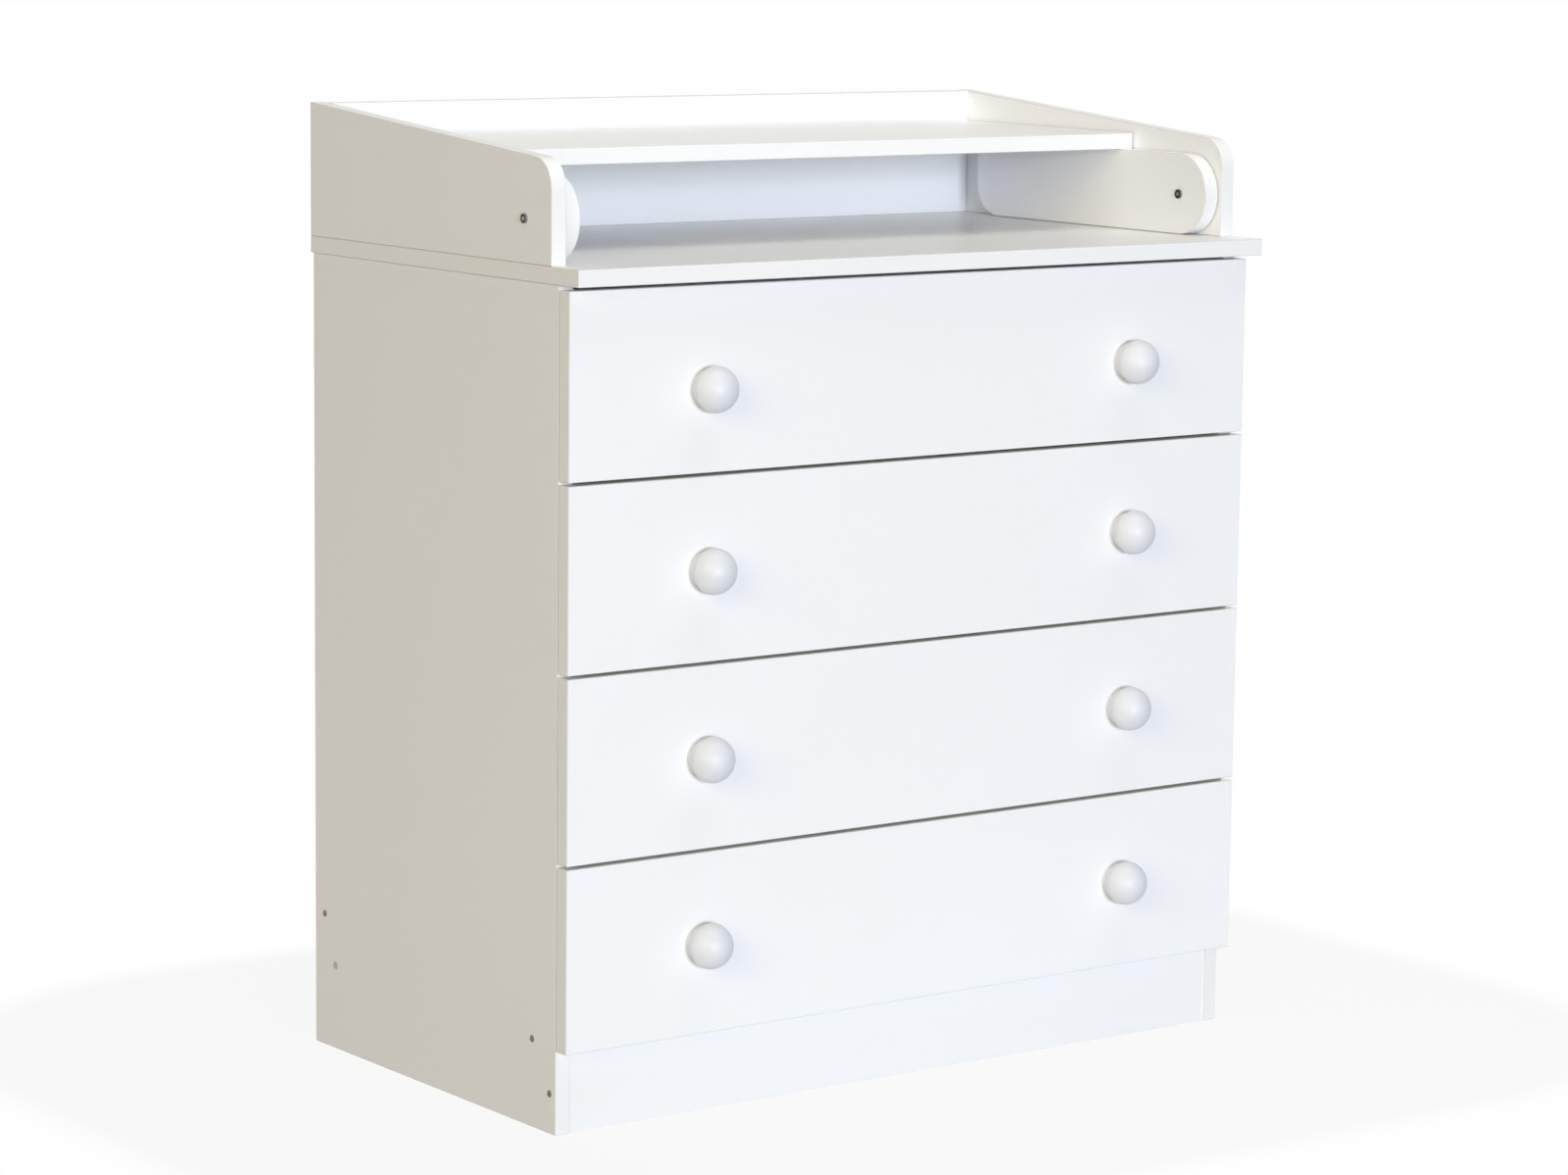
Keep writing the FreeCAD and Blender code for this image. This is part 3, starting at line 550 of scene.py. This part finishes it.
class DRESSER_OT_add_knobs(bpy.types.Operator):
    """Turn the ball-fronted knobs and put two on each drawer, with their screws inside"""

    bl_idname = "dresser.add_knobs"
    bl_label = "Add knobs"

    def execute(self, context):
        sizes = context.scene.dresser_fittings
        colours = context.scene.dresser_finishes
        rings = knob_rings(sizes.knob_waist, sizes.knob_rim, sizes.knob_radius)
        knob = turned("knob_blank", rings, segments=72)
        white = moulded("knob_plastic", colours.knob, roughness=0.42, grain=900, depth=0.01 * MM)
        steel = plated_steel("screw_steel", colours.steel, roughness=0.32)
        screw = sunk_screw("knob_screw_blank", radius=4.5 * MM, height=2.2 * MM,
                           socket=2.4 * MM, shape="cross", depth=1.4 * MM)
        for n in DRAWERS:
            body = f"drawer_{n}"
            low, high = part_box(f"{body}_front")
            spots = [middle(f"{body}_{side}_knob") for side in SIDES]
            knobs = fit(f"{body}_knobs", knob, [((p.x, low.y, p.z), (0, -1, 0)) for p in spots],
                        white, body, most_turn=math.tau, seed=n)
            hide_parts(f"{body}_left_knob", f"{body}_right_knob")
            fit(f"{body}_knob_screws", screw, [((p.x, high.y, p.z), (0, 1, 0)) for p in spots],
                steel, body, most_turn=math.tau, seed=10 + n)
        return {"FINISHED"}


class DRESSER_OT_add_pivots(bpy.types.Operator):
    """Give the pivot bolts their steel and heads with a six-sided recess"""

    bl_idname = "dresser.add_pivots"
    bl_label = "Add pivots"

    def execute(self, context):
        colours = context.scene.dresser_finishes
        steel = plated_steel("pivot_steel", tint(colours.steel, 0.75), roughness=0.3)
        dress(("left_pivot_bolt", "right_pivot_bolt"), steel)
        head = sunk_screw("pivot_head_blank", radius=4.8 * MM, height=PIVOT_HEAD_HEIGHT,
                          socket=2.1 * MM, shape="hexagon", depth=1.2 * MM)
        for side, towards in SIDES.items():
            low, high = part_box(f"{side}_pivot_bolt")
            at = (low + high) / 2
            outer, inner = (low.x, high.x) if towards < 0 else (high.x, low.x)
            sunk = towards * PIVOT_HEAD_HEIGHT
            places = [((outer - sunk, at.y, at.z), (towards, 0, 0)),
                      ((inner + sunk, at.y, at.z), (-towards, 0, 0))]
            fit(f"{side}_pivot_heads", head, places, steel, "carcass",
                most_turn=math.tau, seed=3 + towards)
        return {"FINISHED"}


class DRESSER_OT_add_screws(bpy.types.Operator):
    """Add the carcass screws, their caps and the flat screws of the runners"""

    bl_idname = "dresser.add_screws"
    bl_label = "Add screws"

    def execute(self, context):
        sizes = context.scene.dresser_fittings
        colours = context.scene.dresser_finishes
        dark = plated_steel("carcass_screw_steel", tint(colours.steel, 0.45), roughness=0.42)
        radius = sizes.screw_head
        screw = sunk_screw("carcass_screw_blank", radius, height=0.4 * MM,
                           socket=radius * 0.46, shape="hexagon", depth=0.34 * MM)
        panel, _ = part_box("left_side_panel")

        def on_panels(*spots):
            return [((towards * abs(panel.x), panel.y + behind, above), (towards, 0, 0))
                    for towards in SIDES.values() for behind, above in spots]

        fit("carcass_screw_heads", screw, on_panels(*BARE_SCREWS), dark, "carcass",
            most_turn=math.tau, seed=5)
        cap = turned("screw_cap_blank", CAP_RINGS, segments=36)
        grey = moulded("cap_plastic", CAP_COLOUR, roughness=0.4, grain=800, depth=0.02 * MM)
        fit("carcass_screw_caps", cap, on_panels(CAPPED_SCREW), grey, "carcass")

        zinc = bpy.data.materials["screw_steel"]  # made with the knobs
        flat = sunk_screw("runner_screw_blank", sizes.runner_screw_head, height=0.8 * MM,
                          socket=1.9 * MM, shape="cross", depth=0.6 * MM)
        fixed_low, fixed_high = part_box("left_cabinet_runners")
        webs = []
        for n in DRAWERS:
            ledges = []
            low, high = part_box(f"drawer_{n}_runners")
            box_low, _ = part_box(f"drawer_{n}_left_side")
            roller = middle(f"front_rollers_{n}")
            for towards in SIDES.values():
                web = towards * (abs(fixed_low.x) - RUNNER_STEEL)
                webs += [((web, y, roller.z), (-towards, 0, 0))
                         for y in (fixed_low.y + RUNNER_SCREW_INSET,
                                   fixed_high.y - RUNNER_SCREW_INSET)]
                under = towards * (abs(box_low.x) - LEDGE_SCREW_INSET)
                ledges += [((under, y, low.z), (0, 0, -1))
                           for y in (low.y + RUNNER_SCREW_INSET, high.y - RUNNER_SCREW_INSET)]
            fit(f"drawer_{n}_runner_screws", flat, ledges, zinc, f"drawer_{n}",
                most_turn=math.tau, seed=20 + n)
        fit("cabinet_runner_screws", flat, webs, zinc, "carcass",
            most_turn=math.tau, seed=30)
        return {"FINISHED"}


class DRESSER_OT_finish_runners(bpy.types.Operator):
    """Give the steel runners their coating and the rollers their nylon"""

    bl_idname = "dresser.finish_runners"
    bl_label = "Finish runners"

    def execute(self, context):
        colours = context.scene.dresser_finishes
        dress(RUNNERS, moulded("runner_coating", colours.coating, roughness=0.34, grain=700,
                               depth=0.05 * MM))
        nylon = moulded("nylon", colours.nylon, roughness=0.42, grain=1200, depth=0.03 * MM)
        dress([f"{end}_rollers_{n}" for end in ("front", "rear") for n in DRAWERS], nylon)
        return {"FINISHED"}


# ---- studio

def aim(thing, target):
    direction = Vector(target) - thing.location
    thing.rotation_euler = direction.to_track_quat("-Z", "Y").to_euler()


def soft_lamp(name, power, place, target, size, colour):
    """A rectangular lamp that the camera doesn't see."""
    lamp = bpy.data.lights.new(name, "AREA")
    lamp.shape = "RECTANGLE"
    lamp.size, lamp.size_y = size
    lamp.energy = power
    lamp.color = colour
    thing = bpy.data.objects.new(name, lamp)
    thing.location = place
    thing.visible_camera = False
    aim(thing, target)
    bpy.context.scene.collection.objects.link(thing)


def seen_directly(tree):
    """1 for what the camera, a reflection or a clear material sees, and 0 for other light."""
    rays = tree.nodes.new("ShaderNodeLightPath")
    seen = rays.outputs["Is Camera Ray"]
    for kind in ("Is Glossy Ray", "Is Transmission Ray"):
        either = tree.nodes.new("ShaderNodeMath")
        either.operation = "MAXIMUM"
        tree.links.new(seen, either.inputs[0])
        tree.links.new(rays.outputs[kind], either.inputs[1])
        seen = either.outputs[0]
    return seen


def pale_floor():
    """A pale floor that keeps the shadow near the dresser and turns white further off."""
    build = bmesh.new()
    bmesh.ops.create_circle(build, cap_ends=True, segments=96, radius=9.0)
    mesh = bpy.data.meshes.new("floor")
    build.to_mesh(mesh)
    build.free()
    floor = bpy.data.objects.new("floor", mesh)
    bpy.context.scene.collection.objects.link(floor)
    finish = Finish("pale_floor")
    finish.set(Base_Color=(0.6, 0.6, 0.6, 1), Roughness=0.75, Specular_IOR_Level=0.1)
    _, high = PACKED_BOX
    from_middle = finish.vector("ABSOLUTE", finish.place.outputs["Object"])
    outside = finish.vector("SUBTRACT", from_middle, (high.x, high.y, 0))
    reach = finish.vector("LENGTH", finish.vector("MAXIMUM", outside, (0, 0, 0)))
    fade = finish.node("ShaderNodeMapRange", {"Value": reach, "From_Max": FLOOR_FADE},
                       interpolation_type="SMOOTHSTEP")
    whiteness = finish.maths("MAXIMUM", fade.outputs["Result"], FLOOR_LEAST_WHITE)
    share = finish.maths("MULTIPLY", seen_directly(finish.tree), whiteness)
    white = finish.node("ShaderNodeEmission", {"Color": (1, 1, 1, 1), "Strength": 1.0})
    both = finish.node("ShaderNodeMixShader", {0: share, 1: finish.surface.outputs[0],
                                               2: white.outputs[0]})
    target = finish.tree.nodes["Material Output"].inputs["Surface"]
    finish.tree.links.new(both.outputs[0], target)
    mesh.materials.append(finish.material)


def surroundings(strength):
    """Even light from all around, and white where the camera and shiny surfaces see it."""
    world = bpy.data.worlds.new("surroundings")
    bpy.context.scene.world = world
    world.use_nodes = True
    nodes, links = world.node_tree.nodes, world.node_tree.links
    background = nodes["Background"]
    background.inputs["Color"].default_value = SURROUNDINGS_COLOUR
    background.inputs["Strength"].default_value = strength
    white = nodes.new("ShaderNodeBackground")
    white.inputs["Color"].default_value = (1, 1, 1, 1)
    both = nodes.new("ShaderNodeMixShader")
    links.new(seen_directly(world.node_tree), both.inputs[0])
    links.new(background.outputs[0], both.inputs[1])
    links.new(white.outputs[0], both.inputs[2])
    links.new(both.outputs[0], nodes["World Output"].inputs["Surface"])


class DRESSER_OT_set_stage(bpy.types.Operator):
    """Set up the pale floor, the soft lamps, the surroundings and the camera"""

    bl_idname = "dresser.set_stage"
    bl_label = "Set stage"

    def execute(self, context):
        scene = context.scene
        studio = scene.dresser_studio
        pale_floor()
        surroundings(studio.surroundings)
        for name, lamp in LAMPS.items():
            soft_lamp(f"{name}_lamp", getattr(studio, f"{name}_power"), *lamp)
        lens = bpy.data.cameras.new("camera")
        lens.lens = studio.lens
        lens.sensor_width = 36
        lens.sensor_fit = "HORIZONTAL"
        lens.clip_end = 50
        camera = bpy.data.objects.new("camera", lens)
        camera.location = studio.camera_place
        camera.rotation_euler = Euler(studio.camera_turn)
        scene.collection.objects.link(camera)
        scene.camera = camera
        scene.view_settings.view_transform = "Standard"
        return {"FINISHED"}


# ---- panel and registration

OPERATORS = (DRESSER_OT_finish_boards, DRESSER_OT_add_knobs, DRESSER_OT_add_pivots,
             DRESSER_OT_add_screws, DRESSER_OT_finish_runners, DRESSER_OT_set_stage)
SETTINGS = {"dresser_finishes": DresserFinishes, "dresser_fittings": DresserFittings,
            "dresser_studio": DresserStudio}


class DRESSER_PT_parts(bpy.types.Panel):
    """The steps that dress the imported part, and their sizes and colours"""

    bl_label = "Dresser"
    bl_idname = "DRESSER_PT_parts"
    bl_space_type = "VIEW_3D"
    bl_region_type = "UI"
    bl_category = "Dresser"

    def draw(self, context):
        for operator in OPERATORS:
            self.layout.operator(operator.bl_idname)
        for setting, group in SETTINGS.items():
            box = self.layout.box()
            box.label(text=group.__name__.replace("Dresser", ""))
            for name in group.__annotations__:
                box.prop(getattr(context.scene, setting), name)


def register():
    for group in (*SETTINGS.values(), *OPERATORS, DRESSER_PT_parts):
        bpy.utils.register_class(group)
    for setting, group in SETTINGS.items():
        setattr(bpy.types.Scene, setting, PointerProperty(type=group))


def unregister():
    for setting in SETTINGS:
        delattr(bpy.types.Scene, setting)
    for group in reversed((*SETTINGS.values(), *OPERATORS, DRESSER_PT_parts)):
        bpy.utils.unregister_class(group)


def main():
    register()
    bpy.ops.dresser.finish_boards()
    bpy.ops.dresser.add_knobs()
    bpy.ops.dresser.add_pivots()
    bpy.ops.dresser.add_screws()
    bpy.ops.dresser.finish_runners()
    bpy.ops.dresser.set_stage()


if __name__ == "__main__":
    main()
